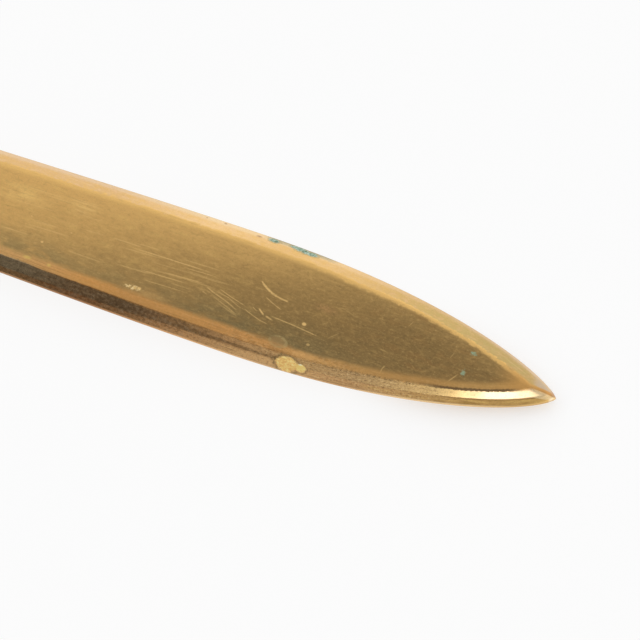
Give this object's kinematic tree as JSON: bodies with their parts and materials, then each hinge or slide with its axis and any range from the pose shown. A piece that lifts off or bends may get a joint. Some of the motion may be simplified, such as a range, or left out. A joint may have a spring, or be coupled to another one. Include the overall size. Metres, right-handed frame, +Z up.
{
  "type": "letter opener",
  "caption": "Brass letter opener: blunt spear-point blade with bevelled edges on a through tang, with a cross guard, ferruled oval wooden grip and pommel.",
  "frame": {"origin": "bottom centre of the bounding box, on the surface that the opener lies on", "axes": "+X along the blade towards the tip, +Y across the blade, +Z up. The opener is in its lying pose, so its own axis dips towards the tip by 1.71 degrees"},
  "size_m": [0.2386, 0.04, 0.0147],
  "materials": {
    "blade_brass": "brushed, tarnished and scratched, with a little verdigris",
    "fitting_brass": "worn satin",
    "fastener_brass": "worn satin",
    "grip_wood": "oiled dark hardwood",
    "spacer_fibre": "pressed vulcanised fibre"
  },
  "bodies": {
    "root": {"blade": "blade_brass", "guard": "fitting_brass", "front_spacer": "spacer_fibre", "front_ferrule": "fitting_brass", "grip": "grip_wood", "grip_pin": "fastener_brass", "rear_ferrule": "fitting_brass", "rear_spacer": "spacer_fibre", "pommel": "fitting_brass", "tang_washer": "fastener_brass", "tang_nut": "fastener_brass"}
  },
  "joints": []
}
